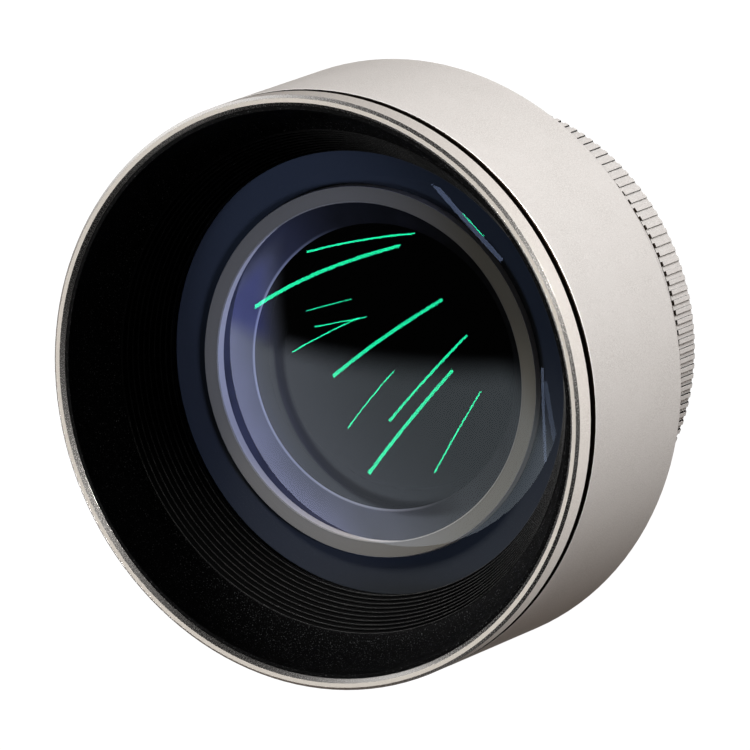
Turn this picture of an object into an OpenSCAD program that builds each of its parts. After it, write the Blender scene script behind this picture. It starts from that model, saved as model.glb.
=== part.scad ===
// Phone telephoto lens: an afocal front lens that locks into the ring of a phone case.
// The origin is the middle of the rear face. +Z runs along the optical axis to the front glass.

/* [Barrel] */
// Length of the straight barrel, from its rear edge to the groove
barrel_h = 19.6; // [18:0.2:30]
// Wall of the straight barrel behind its thread
barrel_wall = 2.4; // [2.2:0.1:3.2]
// Height of the bore's foot above the rear edge of the barrel
bore_rise = 0.96; // [0.6:0.02:1.4]
// Bevel on the outer edges of the barrel and of the flange
edge_bevel = 0.3; // [0.1:0.05:0.5]
// Length of the cone between the barrel and the neck
shoulder_h = 7.6; // [6.5:0.1:9]
// Width of that cone, seen from the front
shoulder_w = 7.6; // [6.8:0.1:11]

/* [Front ring] */
// Height of the front ring
ring_h = 2.85; // [2.5:0.05:4]
// Width of the dark groove between the front ring and the barrel
groove_w = 0.95; // [0.6:0.05:1.4]
// Depth of that groove
groove_depth = 1.04; // [0.9:0.02:1.2]
// Bevel on both edges of the groove
groove_bevel = 0.15; // [0.05:0.01:0.3]
// Width of the step in the ring that seats on the cell
ring_seat_w = 0.22; // [0.16:0.02:0.4]
// Height of the lip above that step
ring_lip_h = 1.8; // [1.2:0.1:2.2]
// Bevel on the outer edge of the rim
rim_outer_bevel = 0.33; // [0.2:0.01:0.4]
// Bevel on the inner edge of the rim
rim_inner_bevel = 0.42; // [0.2:0.01:0.44]

/* [Mouth] */
// Thickness of the black lip inside the rim
mouth_lip = 0.44; // [0.3:0.02:0.7]
// Depth of the curved black wall, from that lip to the first ridge
mouth_depth = 5.85; // [5:0.05:7]
// Width of that wall, seen from the front
mouth_slope_w = 3.2; // [2.6:0.1:3.8]
// Number of ridges in the light trap
ridge_count = 9; // [7:1:11]
// Depth of the light trap, from its first crest to its last
trap_h = 5.28; // [4.6:0.02:6]
// Width of the light trap, seen from the front
trap_w = 3.26; // [2.8:0.02:3.6]
// Width of a ridge's flat crest
ridge_crest_w = 0.12; // [0.08:0.01:0.16]
// Depth of a valley below the crest inside it
ridge_valley_h = 0.36; // [0.2:0.02:0.4]
// Thickness of the light trap under its last crest
trap_foot_t = 0.5; // [0.45:0.05:0.8]

/* [Front glass] */
// How far the glass runs under the edge of the light trap
glass_edge_w = 1.4; // [1.2:0.05:2]
// Radius of the front surface
glass_front_r = 50; // [44:1:90]
// Radius of the hollow rear surface
glass_rear_r = 130; // [110:5:300]
// Thickness of the glass at its edge
glass_edge_t = 1.7; // [1.6:0.1:4]
// Width of the ledge that carries the glass
glass_ledge_w = 1.65; // [1.2:0.05:2]
// Wall of the cell around the glass
cell_wall = 1.4; // [1:0.1:2]
// Length of the thicker collar that closes the groove
cell_collar_h = 1.2; // [0.8:0.1:2]
// Length of the thread between the cell and the barrel
cell_thread_h = 8; // [6:0.1:9]
// Depth of that thread's seat in the barrel
cell_thread_w = 0.96; // [0.7:0.02:1.2]
// Thickness of the inner flange of the cell
cell_flange_t = 1.5; // [1:0.1:2]
// Width of the inner flange of the cell
cell_flange_w = 3.6; // [2.5:0.1:4]

/* [Cemented pair] */
// Wall of the pair's cell
pair_cell_wall = 5.55; // [5.2:0.05:6.5]
// Air between the front glass and the pair, on the axis
pair_gap = 0.95; // [0.6:0.05:2]
// Radius of the first surface of the pair
pair_front_r = 60; // [50:1:90]
// Radius of the cemented surface
pair_joint_r = 60; // [50:1:90]
// Thickness of the pair's first glass at its edge
crown_edge_t = 1.2; // [1:0.1:2]
// Thickness of the pair's second glass at its edge
flint_edge_t = 4; // [3.6:0.1:5]
// Thickness of the pair's second glass on the axis
flint_mid_t = 2.2; // [1.6:0.1:3]
// Room between the pair's retaining ring and the front glass
retainer_gap = 0.2; // [0.15:0.05:0.6]
// Width of that ring over the pair
retainer_over = 0.86; // [0.6:0.02:1.2]
// Width of that ring beyond the pair
retainer_thread_w = 1; // [0.8:0.05:1.4]
// Bevel on the ring's inner edge
retainer_bevel = 0.12; // [0.05:0.01:0.2]
// Thickness of the lip behind the pair
pair_lip_t = 1; // [0.7:0.1:1.6]
// Width of the lip behind the pair
pair_lip_w = 1.36; // [1:0.02:1.8]

/* [Neck and grip] */
// How far the neck stands out beyond the bayonet's plate
neck_over = 3.1; // [2.9:0.05:4]
// Length of the smooth neck
neck_h = 5.23; // [4:0.05:8]
// Height of the toothed band
teeth_h = 3.7; // [3:0.05:6]
// Bevel behind the teeth
grip_bevel = 1.07; // [0.8:0.05:1.4]
// Number of teeth round the grip ring
teeth_count = 144; // [96:4:160]
// How far the teeth stand proud of the neck
tooth_h = 0.27; // [0.15:0.01:0.4]
// Width of a tooth, in degrees
tooth_angle = 1.15; // [0.9:0.05:1.4]
// Turn of the first tooth about the axis, in degrees
tooth_turn = 1.43; // [0:0.01:2.49]
// Thickness of the grip ring under its teeth
grip_wall = 1.5; // [1.2:0.05:1.7]
// Thickness of the neck's wall under the grip ring
neck_wall = 3.4; // [3:0.1:3.6]
// Length of the thread between the neck and the barrel
neck_thread_h = 5; // [3.5:0.1:5]
// Depth of that thread below the seat of the grip ring
neck_thread_w = 0.91; // [0.7:0.01:1.2]
// Depth of the neck's inner flange
tube_seat_t = 2.5; // [1.5:0.1:3]

/* [Mount] */
// Thickness of the flange behind the grip ring
flange_h = 2.9; // [2.7:0.1:4]
// Thickness of the flange's lip that keeps the grip ring on
flange_lip_h = 0.8; // [0.5:0.05:1.2]
// Radial width of that lip
flange_lip_w = 1.3; // [1.1:0.05:1.5]
// How far that lip reaches over the grip ring
flange_lip_over = 0.51; // [0.3:0.01:0.7]
// Length of the flange's spigot inside the neck
spigot_h = 3.5; // [3:0.1:3.9]
// Wall of that spigot
spigot_wall = 3.46; // [3:0.02:4]
// Thickness of the bayonet's plate
plate_h = 1.2; // [1:0.05:1.6]
// Width of the bayonet's plate beyond its tube
plate_w = 4.7; // [4.5:0.1:5]
// Wall of the bayonet's tube
bayonet_wall = 2.1; // [1.8:0.1:2.6]
// How far the lugs stand out from the tube
lug_reach = 2.2; // [1.6:0.1:2.6]
// Number of lugs
lug_count = 3; // [3:1:4]
// Width of a lug, in degrees
lug_angle = 44; // [30:1:60]
// Height of a lug
lug_h = 1.8; // [1.4:0.1:2.4]
// Room between the lugs and the plate
lug_gap = 2.2; // [1.8:0.1:3]
// Radius of the locking notch in the first lug
notch_r = 0.9; // [0.6:0.05:1.2]
// Distance of the mount screws from the bayonet's tube
screw_place = 2.8; // [2.7:0.05:3]
// Diameter of a screw's shaft
screw_d = 1.6; // [1.4:0.1:1.8]
// Diameter of a screw's head
screw_head_d = 2.8; // [2.4:0.1:3]
// Height of a screw's head
screw_head_h = 0.6; // [0.4:0.05:0.8]
// Length of a screw below its head
screw_len = 2.7; // [2:0.1:2.9]
// Width across the corners of a screw's hexagonal socket
socket_d = 1; // [0.8:0.05:1.1]
// Depth of that socket
socket_h = 0.4; // [0.3:0.05:0.6]
// Outside width of the soft ring on the plate
gasket_w = 1.22; // [0.8:0.02:1.4]
// Thickness of the soft ring
gasket_h = 0.9; // [0.6:0.05:1.2]
// Depth of its recess
gasket_seat = 0.3; // [0.2:0.05:0.5]
// Diameter of the index dot
dot_d = 1.5; // [1:0.1:1.6]
// Depth of the index dot
dot_h = 0.5; // [0.3:0.05:0.7]
// Distance of the index dot from the bayonet's tube
dot_place = 3.4; // [3.2:0.05:3.6]

/* [Inner tube and stops] */
// Room between the inner tube and the flange's spigot
tube_room = 1; // [0.6:0.1:1.6]
// Wall of the inner tube
tube_wall = 3; // [2.2:0.1:3.4]
// Thickness of the inner tube's flange
tube_flange_t = 1.5; // [1:0.1:2.5]
// Distance of that flange from the level of the shoulder
tube_drop = 0.5; // [0.3:0.1:1]
// Room between the inner tube and the pair, on the axis
tube_gap = 0.75; // [0.5:0.05:1.5]
// How far the front stop reaches into the tube
stop_lip = 1.2; // [0.8:0.1:3]
// How far the rear stop reaches into the tube
glare_lip = 4.46; // [3:0.02:5]
// Thickness of both stops
stop_t = 0.4; // [0.3:0.05:0.8]
// Bevel on the opening of both stops
stop_bevel = 0.2; // [0.1:0.05:0.25]
// Width of the front stop's seat
stop_seat_w = 0.6; // [0.4:0.05:1]

/* [Rear cell] */
// Diameter of the nose that enters the ring of the case
nose_d = 33; // [32:0.1:34]
// Length of the nose
nose_h = 5.9; // [5.4:0.1:8]
// Bevel on the nose
nose_bevel = 0.8; // [0.3:0.1:1.2]
// Bevel on the hollow in the nose
hollow_bevel = 0.4; // [0.2:0.05:0.6]
// Width of the step between the nose and the bayonet's bore
nose_step_w = 1.04; // [0.8:0.02:1.3]
// Diameter of the rear glasses
rear_d = 17.92; // [16:0.02:19]
// Depth of the hollow behind the rear retaining ring
rear_recess = 0.8; // [0.4:0.1:1.4]
// Height of the rear retaining ring
rear_ring_h = 1.5; // [1.2:0.1:1.8]
// Width of the rear retaining ring
rear_ring_w = 1.56; // [1.2:0.02:1.8]
// Width of its two spanner slots
slot_w = 1.2; // [0.8:0.1:1.6]
// Depth of its two spanner slots
slot_h = 0.6; // [0.4:0.05:0.8]
// Edge thickness of the last glass
last_edge_t = 2.4; // [2.1:0.1:3]
// Radius of both hollow surfaces of the last glass
last_surface_r = 60; // [52:1:90]
// Height of the spacer between the rear glasses
spacer_h = 1.5; // [1:0.1:2]
// Edge thickness of the rear group's first glass
rear_edge_t = 2.5; // [2.2:0.1:3]
// Radius of its domed surface
rear_front_r = 30; // [24:1:45]
// Radius of its hollow surface
rear_back_r = 45; // [36:1:80]
// Width of the seat round the rear glasses
rear_seat_w = 1.2; // [1:0.05:1.6]
// Length of the rear cell inside the tube
rear_spigot_h = 3.4; // [2.5:0.1:4.4]
// Thickness of the rear cell at its flared end
rear_flare_t = 0.96; // [0.7:0.02:1.4]

/* [Seals and set screws] */
// Thickness of the seal in front of the glass
front_seal_d = 0.56; // [0.4:0.02:0.66]
// Thickness of the seal in the barrel
barrel_seal_d = 0.8; // [0.6:0.05:0.9]
// Distance of the barrel's seal from the collar of the cell
barrel_seal_drop = 3; // [2:0.1:4]
// Width of that seal's groove
seal_groove_w = 0.96; // [0.92:0.02:1.4]
// How far the set screws reach into the flange's spigot
set_reach = 0.53; // [0.3:0.01:0.8]
// How deep the set screws sit below the seat of the grip ring
set_sink = 0.22; // [0.1:0.01:0.4]
// Height of the set screws above the foot of the grip ring
set_rise = 1.8; // [1.4:0.1:2]

/* [Fits] */
// Radial clearance of every fit
fit = 0.04; // [0.02:0.01:0.06]
// Clearance along the axis between glass and metal that do not press on each other
air = 0.1; // [0.05:0.01:0.14]

/* [Hidden] */
$fn = 180;
// How far a cutting shape runs past the face that it cuts
over = 1;

// Colours as the eye sees them
titanium = [0.86, 0.83, 0.80];
black = [0.07, 0.07, 0.075];
glass = [0.25, 0.32, 0.40];
beige = [0.62, 0.58, 0.52];
steel = [0.72, 0.72, 0.73];
rubber = [0.05, 0.05, 0.05];
enamel = [0.80, 0.32, 0.12];

// Height of a dome of a given radius over a circle of another
function sag(surface_r, edge_r) = surface_r - sqrt(surface_r * surface_r - edge_r * edge_r);

// Levels of the mount and the neck, counted up from the rear face
lug_z = nose_h;
plate_z = lug_z + lug_h + lug_gap;
flange_z = plate_z + plate_h;
grip_z = flange_z + flange_h;
neck_z = grip_z + grip_bevel + teeth_h;
shoulder_z = neck_z + neck_h;
barrel_z = shoulder_z + shoulder_h;
groove_z = barrel_z + barrel_h;
ring_z = groove_z + groove_w;
rim_z = ring_z + ring_h;

// Radii of the mount and of the neck, counted out from the nose
nose_r = nose_d / 2;
rear_mid_r = nose_r - nose_step_w;
bayonet_bore_r = rear_mid_r + fit;
bayonet_r = bayonet_bore_r + bayonet_wall;
lug_r = bayonet_r + lug_reach;
plate_r = bayonet_r + plate_w;
screw_circle_r = bayonet_r + screw_place;
dot_place_r = bayonet_r + dot_place;
neck_r = plate_r + neck_over;
neck_seat_r = neck_r - grip_wall;
neck_bore_r = neck_seat_r - neck_wall;
neck_thread_r = neck_seat_r - neck_thread_w;
grip_tip_r = neck_r + tooth_h;
flange_lip_r = neck_seat_r + flange_lip_over;
flange_r = flange_lip_r - flange_lip_w;
spigot_r = neck_bore_r - fit;
spigot_bore_r = spigot_r - spigot_wall;
collar_bore_r = neck_thread_r + fit;

// The set screws
set_z = grip_z + set_rise;
set_tip_r = spigot_r - set_reach;
set_len = neck_seat_r - set_sink - set_tip_r;

// Radii of the front end, counted in from the barrel
barrel_r = neck_r + shoulder_w;
collar_r = barrel_r - groove_depth;
cell_lip_r = collar_r - ring_seat_w;
rim_r = cell_lip_r + fit;
mouth_r = cell_lip_r - mouth_lip;
trap_r = mouth_r - mouth_slope_w;
clear_r = trap_r - fit - trap_w;
glass_r = clear_r + glass_edge_w;
cell_thread_r = collar_r - cell_thread_w;
cell_sleeve_r = glass_r + fit + cell_wall;
ledge_r = glass_r + fit - glass_ledge_w;

// Levels of the front end, counted down from the rim
ring_step_z = rim_z - ring_lip_h;
mouth_z = rim_z - rim_inner_bevel;
trap_z = mouth_z - mouth_depth;
trap_foot_z = trap_z - trap_h - trap_foot_t;
cell_step_z = groove_z - cell_collar_h;
glass_apex_z = trap_foot_z - air + sag(glass_front_r, clear_r);
glass_edge_z = glass_apex_z - sag(glass_front_r, glass_r);
glass_seat_z = glass_edge_z - glass_edge_t;
glass_hollow_r = ledge_r - air;
glass_hollow_z = glass_seat_z + sag(glass_rear_r, glass_hollow_r);
bowl_r = (pow(mouth_slope_w, 2) + pow(mouth_depth, 2)) / (2 * mouth_slope_w);

// The cemented pair and its cell
pair_r = ledge_r - pair_cell_wall - fit * 2;
pair_apex_z = glass_hollow_z - pair_gap;
crown_edge_z = pair_apex_z - sag(pair_front_r, pair_r);
joint_edge_z = crown_edge_z - crown_edge_t;
joint_mid_z = joint_edge_z - sag(pair_joint_r, pair_r);
pair_seat_z = joint_edge_z - flint_edge_t;
pair_rear_z = joint_mid_z - flint_mid_t;
pair_clear_r = pair_r + fit - pair_lip_w;
flint_sag = pair_seat_z - pair_rear_z;
flint_rear_r = (pow(pair_clear_r, 2) + pow(flint_sag, 2)) / (2 * flint_sag);
pair_cell_z = pair_seat_z - pair_lip_t;
pair_cell_top_z = glass_seat_z - air;
retainer_in_r = pair_r - retainer_over;
retainer_thread_r = pair_r + fit + retainer_thread_w;
retainer_top_z = glass_hollow_z - sag(glass_rear_r, retainer_thread_r) - retainer_gap;
cell_flange_z = pair_cell_z - cell_flange_t;

// The inner tube and the front stop
tube_r = spigot_bore_r - tube_room;
tube_bore_r = tube_r - tube_wall;
tube_top_z = pair_rear_z - tube_gap;
tube_seat_z = shoulder_z - tube_drop - tube_flange_t;
stop_r = tube_bore_r + stop_seat_w;
stop_open_r = tube_bore_r - stop_lip;

// The rear cell, its glasses and the rear stop
rear_r = rear_d / 2;
rear_bore_r = rear_r + fit;
rear_clear_r = rear_bore_r - rear_seat_w;
last_z = rear_recess + rear_ring_h;
spacer_z = last_z + last_edge_t;
rear_group_z = spacer_z + spacer_h;
rear_seat_z = rear_group_z + rear_edge_t;
rear_top_z = flange_z + rear_spigot_h;
rear_spigot_r = tube_bore_r - fit;
glare_open_r = rear_spigot_r - glare_lip;

// A turned piece: a half section revolved about the optical axis
module turned(section) {
    rotate_extrude() polygon(section);
}

// A soft ring of round section
module seal(ring_r, ring_level, thickness) {
    rotate_extrude() translate([ring_r, ring_level]) circle(r = thickness / 2, $fn = 32);
}

// Copies round the axis, set between the lugs
module between_lugs() {
    for (i = [0 : lug_count - 1]) rotate([0, 0, (i + 0.5) * 360 / lug_count]) children();
}

// The bright ring at the very front, with a bevel on each edge of its face
module front_ring() {
    color(titanium) turned([
        [collar_r + fit, ring_z],
        [barrel_r - groove_bevel, ring_z],
        [barrel_r, ring_z + groove_bevel],
        [barrel_r, rim_z - rim_outer_bevel],
        [barrel_r - rim_outer_bevel, rim_z],
        [rim_r + rim_inner_bevel, rim_z],
        [rim_r, mouth_z],
        [rim_r, ring_step_z],
        [collar_r + fit, ring_step_z]
    ]);
}

// The black cell: it makes the curved wall of the mouth and carries the front glass
module front_cell() {
    color(black) rotate_extrude() difference() {
        polygon([
            [trap_r, mouth_z],
            [cell_lip_r, mouth_z],
            [cell_lip_r, ring_step_z],
            [collar_r, ring_step_z],
            [collar_r, cell_step_z],
            [cell_thread_r, cell_step_z],
            [cell_thread_r, cell_step_z - cell_thread_h],
            [cell_sleeve_r, cell_step_z - cell_thread_h],
            [cell_sleeve_r, cell_flange_z],
            [ledge_r - cell_flange_w, cell_flange_z],
            [ledge_r - cell_flange_w, pair_cell_z],
            [ledge_r, pair_cell_z],
            [ledge_r, glass_seat_z],
            [glass_r + fit, glass_seat_z],
            [glass_r + fit, trap_foot_z],
            [trap_r, trap_foot_z]
        ]);
        translate([mouth_r - bowl_r, mouth_z]) circle(r = bowl_r);
        translate([cell_thread_r - barrel_seal_d, cell_step_z - barrel_seal_drop - seal_groove_w / 2])
            square([barrel_seal_d + over, seal_groove_w]);
    }
}

// The light trap: rings of fine ridges, each with a flat crest and a deep valley behind it.
// It also holds the front glass down.
module ribbed_baffle() {
    outer_r = trap_r - fit;
    step_w = (trap_w - ridge_crest_w) / ridge_count;
    step_h = trap_h / ridge_count;
    ridges = [for (i = [0 : ridge_count - 1], corner = [0 : 2])
        let (crest = [outer_r - i * step_w, trap_z - i * step_h],
            valley = [crest[0] - ridge_crest_w * 2, crest[1] - step_h - ridge_valley_h])
        corner == 0 ? crest : corner == 1 ? crest - [ridge_crest_w, 0] : valley];
    last = [outer_r - ridge_count * step_w, trap_z - trap_h];
    color(black) turned(concat(
        [[outer_r, trap_foot_z]], ridges, [last, last - [ridge_crest_w, 0], [clear_r, trap_foot_z]]));
}

// The seal between the light trap and the front glass
module front_seal() {
    seal_z = trap_foot_z - front_seal_d / 2;
    dome_z = glass_apex_z - glass_front_r;
    seal_r = sqrt(pow(glass_front_r + front_seal_d / 2 + fit, 2) - pow(seal_z - dome_z, 2));
    color(rubber) seal(seal_r, seal_z, front_seal_d);
}

// The large front glass: domed in front, slightly hollow behind
module front_element() {
    color(glass) difference() {
        intersection() {
            translate([0, 0, glass_seat_z]) cylinder(r = glass_r, h = glass_apex_z - glass_seat_z + over);
            translate([0, 0, glass_apex_z - glass_front_r]) sphere(r = glass_front_r);
        }
        translate([0, 0, glass_hollow_z - glass_rear_r]) sphere(r = glass_rear_r, $fn = 360);
    }
}

// The barrel: a straight tube, a cone behind it and a threaded collar inside
module main_barrel() {
    inner_r = barrel_r - barrel_wall;
    collar_out_r = neck_r - edge_bevel;
    inner_z = barrel_z + bore_rise;
    cone_slope = shoulder_h / shoulder_w;
    collar_foot_z = inner_z - (inner_r - collar_out_r) * cone_slope;
    color(titanium) turned([
        [collar_bore_r, shoulder_z],
        [neck_r, shoulder_z],
        [barrel_r - edge_bevel, barrel_z - edge_bevel * cone_slope],
        [barrel_r, barrel_z + edge_bevel],
        [barrel_r, groove_z - groove_bevel],
        [barrel_r - groove_bevel, groove_z],
        [collar_r + fit, groove_z],
        [collar_r + fit, cell_step_z],
        [cell_thread_r + fit, cell_step_z],
        [cell_thread_r + fit, cell_step_z - cell_thread_h],
        [inner_r, cell_step_z - cell_thread_h],
        [inner_r, inner_z],
        [collar_out_r, collar_foot_z],
        [collar_out_r, shoulder_z + neck_thread_h],
        [collar_bore_r, shoulder_z + neck_thread_h]
    ]);
}

// The seal between the cell and the barrel
module barrel_seal() {
    color(rubber) seal(
        cell_thread_r - barrel_seal_d / 2 + fit / 2, cell_step_z - barrel_seal_drop, barrel_seal_d);
}

// The neck: it threads into the barrel, and carries the grip ring and the inner tube
module rear_barrel() {
    color(titanium) difference() {
        turned([
            [neck_bore_r, grip_z],
            [neck_seat_r, grip_z],
            [neck_seat_r, neck_z],
            [neck_r, neck_z],
            [neck_r, shoulder_z],
            [neck_thread_r, shoulder_z],
            [neck_thread_r, shoulder_z + neck_thread_h],
            [neck_bore_r, shoulder_z + neck_thread_h],
            [neck_bore_r, tube_seat_z],
            [tube_r + fit, tube_seat_z],
            [tube_r + fit, tube_seat_z - tube_seat_t],
            [neck_bore_r, tube_seat_z - tube_seat_t]
        ]);
        between_lugs() translate([spigot_r, 0, set_z]) rotate([0, 90, 0])
            cylinder(d = screw_d + fit * 2, h = neck_r - spigot_r, $fn = 32);
    }
}

// The grip ring: straight rectangular teeth, worked out one by one round the circle
module grip_ring() {
    pitch = 360 / teeth_count;
    half = tooth_angle / 2;
    corners = [[neck_r, -half], [grip_tip_r, -half], [grip_tip_r, half], [neck_r, half]];
    outline = [for (i = [0 : teeth_count - 1], c = corners)
        let (angle = i * pitch + tooth_turn + c[1])
        c[0] * [cos(angle), sin(angle)]];
    color(titanium) intersection() {
        translate([0, 0, grip_z]) linear_extrude(height = neck_z - grip_z) difference() {
            polygon(outline);
            circle(r = neck_seat_r + fit);
        }
        turned([
            [0, grip_z],
            [grip_tip_r - grip_bevel, grip_z],
            [grip_tip_r + over, grip_z + grip_bevel + over],
            [grip_tip_r + over, neck_z],
            [0, neck_z]
        ]);
    }
}

// A headless screw along +X, with its hexagonal socket at the far end
module set_screw() {
    rotate([0, 90, 0]) difference() {
        cylinder(d = screw_d, h = set_len, $fn = 32);
        translate([0, 0, set_len - socket_h]) cylinder(d = socket_d, h = socket_h + over, $fn = 6);
    }
}

// Three headless screws that lock the flange into the neck, under the grip ring
module set_screws() {
    color(steel) between_lugs() translate([set_tip_r, 0, set_z]) set_screw();
}

// The flange: it closes the neck and keeps the grip ring on
module mount_flange() {
    color(titanium) difference() {
        turned([
            [spigot_bore_r, flange_z],
            [flange_r - edge_bevel, flange_z],
            [flange_r, flange_z + edge_bevel],
            [flange_r, grip_z - flange_lip_h],
            [flange_lip_r, grip_z - flange_lip_h],
            [flange_lip_r, grip_z],
            [spigot_r, grip_z],
            [spigot_r, grip_z + spigot_h],
            [spigot_bore_r, grip_z + spigot_h]
        ]);
        between_lugs() {
            translate([screw_circle_r, 0, flange_z - over])
                cylinder(d = screw_d + fit * 2, h = screw_len - plate_h + screw_head_h + over + air,
                    $fn = 32);
            translate([set_tip_r - air, 0, set_z]) rotate([0, 90, 0])
                cylinder(d = screw_d + fit * 2, h = set_reach + air + over, $fn = 32);
        }
    }
}

// One lug of the bayonet: a sector of a ring, rooted in the middle of the tube's wall
module lug() {
    far = lug_r * 2;
    half = lug_angle / 2;
    linear_extrude(height = lug_h) intersection() {
        difference() {
            circle(r = lug_r);
            circle(r = (bayonet_r + bayonet_bore_r) / 2);
        }
        polygon([[0, 0], far * [cos(half), -sin(half)], [far, 0], far * [cos(half), sin(half)]]);
    }
}

// The bayonet: a tube with lugs at its rear, on a plate that is screwed to the flange
module bayonet_ring() {
    color(steel) difference() {
        union() {
            translate([0, 0, lug_z]) cylinder(r = bayonet_r, h = flange_z - lug_z);
            translate([0, 0, plate_z]) cylinder(r = plate_r, h = plate_h);
            for (i = [0 : lug_count - 1])
                rotate([0, 0, i * 360 / lug_count]) translate([0, 0, lug_z]) lug();
        }
        translate([0, 0, lug_z - over]) cylinder(r = bayonet_bore_r, h = flange_z - lug_z + over * 2);
        translate([lug_r, 0, lug_z - over]) cylinder(r = notch_r, h = lug_h + over * 2, $fn = 32);
        translate([0, 0, plate_z - over]) difference() {
            cylinder(r = bayonet_r + gasket_w + fit, h = gasket_seat + over);
            cylinder(r = bayonet_r, h = gasket_seat + over);
        }
        translate([dot_place_r, 0, plate_z - over])
            cylinder(r = dot_d / 2 + fit, h = dot_h + over, $fn = 32);
        between_lugs() translate([screw_circle_r, 0, 0]) {
            translate([0, 0, plate_z - over])
                cylinder(d = screw_d + fit * 2, h = plate_h + over * 2, $fn = 32);
            translate([0, 0, plate_z])
                cylinder(d1 = screw_head_d + fit * 2, d2 = screw_d + fit * 2, h = screw_head_h, $fn = 32);
        }
    }
}

// A flat-headed screw along +Z, with its head at the bottom
module flat_screw() {
    difference() {
        union() {
            cylinder(d1 = screw_head_d, d2 = screw_d, h = screw_head_h, $fn = 32);
            cylinder(d = screw_d, h = screw_head_h + screw_len, $fn = 32);
        }
        translate([0, 0, -over]) cylinder(d = socket_d, h = socket_h + over, $fn = 6);
    }
}

// The screws that hold the bayonet on the flange
module mount_screws() {
    color(steel) between_lugs() translate([screw_circle_r, 0, plate_z]) flat_screw();
}

// The soft ring that the case closes against
module mount_gasket() {
    color(rubber) translate([0, 0, plate_z + gasket_seat - gasket_h]) difference() {
        cylinder(r = bayonet_r + gasket_w, h = gasket_h);
        translate([0, 0, -over]) cylinder(r = bayonet_r + fit, h = gasket_h + over * 2);
    }
}

// The coloured dot that shows which way the bayonet goes in
module index_dot() {
    color(enamel) translate([dot_place_r, 0, plate_z]) cylinder(d = dot_d, h = dot_h, $fn = 32);
}

// The cell of the cemented pair
module pair_cell() {
    color(black) turned([
        [pair_clear_r, pair_cell_z],
        [ledge_r - fit, pair_cell_z],
        [ledge_r - fit, pair_cell_top_z],
        [retainer_thread_r, pair_cell_top_z],
        [retainer_thread_r, crown_edge_z],
        [pair_r + fit, crown_edge_z],
        [pair_r + fit, pair_seat_z],
        [pair_clear_r, pair_seat_z]
    ]);
}

// The light-coloured ring that keeps the pair in its cell
module pair_retainer() {
    lip_z = pair_apex_z - sag(pair_front_r, retainer_in_r) + fit;
    color(beige) turned([
        [retainer_in_r, lip_z],
        [pair_r, crown_edge_z + fit],
        [pair_r + fit, crown_edge_z],
        [retainer_thread_r - fit, crown_edge_z],
        [retainer_thread_r - fit, retainer_top_z],
        [retainer_in_r + retainer_bevel, retainer_top_z],
        [retainer_in_r, retainer_top_z - retainer_bevel]
    ]);
}

// The first glass of the pair: domed on both sides
module pair_front() {
    color(glass) intersection() {
        translate([0, 0, joint_mid_z - over])
            cylinder(r = pair_r, h = pair_apex_z - joint_mid_z + over * 2);
        translate([0, 0, pair_apex_z - pair_front_r]) sphere(r = pair_front_r);
        translate([0, 0, joint_mid_z + pair_joint_r]) sphere(r = pair_joint_r);
    }
}

// The second glass of the pair: hollow where it meets the first, and gently domed behind
module pair_rear() {
    color(glass) difference() {
        union() {
            translate([0, 0, pair_seat_z]) cylinder(r = pair_r, h = flint_edge_t);
            intersection() {
                translate([0, 0, pair_rear_z - over])
                    cylinder(r = pair_clear_r, h = pair_seat_z - pair_rear_z + over * 2);
                translate([0, 0, pair_rear_z + flint_rear_r]) sphere(r = flint_rear_r, $fn = 360);
            }
        }
        translate([0, 0, joint_mid_z + pair_joint_r]) sphere(r = pair_joint_r);
    }
}

// The inner tube: it hangs by its flange in the neck and shades the rear glasses
module inner_tube() {
    color(black) turned([
        [tube_bore_r, flange_z],
        [tube_r, flange_z],
        [tube_r, tube_seat_z],
        [neck_bore_r - fit, tube_seat_z],
        [neck_bore_r - fit, tube_seat_z + tube_flange_t],
        [tube_r, tube_seat_z + tube_flange_t],
        [tube_r, tube_top_z],
        [stop_r, tube_top_z],
        [stop_r, tube_top_z - stop_t],
        [tube_bore_r, tube_top_z - stop_t]
    ]);
}

// The front stop, a thin ring let into the mouth of the inner tube
module front_stop() {
    color(black) turned([
        [stop_open_r, tube_top_z - stop_t],
        [stop_r - fit, tube_top_z - stop_t],
        [stop_r - fit, tube_top_z],
        [stop_open_r + stop_bevel, tube_top_z],
        [stop_open_r, tube_top_z - stop_bevel]
    ]);
}

// The rear stop, a thin ring that lies on the rear cell inside the tube
module rear_stop() {
    color(black) turned([
        [glare_open_r, rear_top_z],
        [rear_spigot_r, rear_top_z],
        [rear_spigot_r, rear_top_z + stop_t],
        [glare_open_r + stop_bevel, rear_top_z + stop_t],
        [glare_open_r, rear_top_z + stop_t - stop_bevel]
    ]);
}

// The rear cell: the nose outside, and the seats of the rear glasses inside
module rear_cell() {
    color(black) turned([
        [rear_bore_r, hollow_bevel],
        [rear_bore_r + hollow_bevel, 0],
        [nose_r - nose_bevel, 0],
        [nose_r, nose_bevel],
        [nose_r, nose_h],
        [rear_mid_r, nose_h],
        [rear_mid_r, flange_z],
        [rear_spigot_r, flange_z],
        [rear_spigot_r, rear_top_z],
        [rear_spigot_r - rear_flare_t, rear_top_z],
        [rear_clear_r, rear_seat_z + rear_seat_w],
        [rear_clear_r, rear_seat_z],
        [rear_bore_r, rear_seat_z]
    ]);
}

// The first glass of the rear group: domed in front and hollow behind
module rear_group_front() {
    dome_z = rear_seat_z + sag(rear_front_r, rear_clear_r - air);
    hollow_z = rear_group_z + sag(rear_back_r, rear_clear_r);
    color(glass) difference() {
        union() {
            translate([0, 0, rear_group_z]) cylinder(r = rear_r, h = rear_edge_t);
            intersection() {
                translate([0, 0, rear_group_z])
                    cylinder(r = rear_clear_r - air, h = dome_z - rear_group_z + over);
                translate([0, 0, dome_z - rear_front_r]) sphere(r = rear_front_r);
            }
        }
        translate([0, 0, hollow_z - rear_back_r]) sphere(r = rear_back_r);
    }
}

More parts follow.
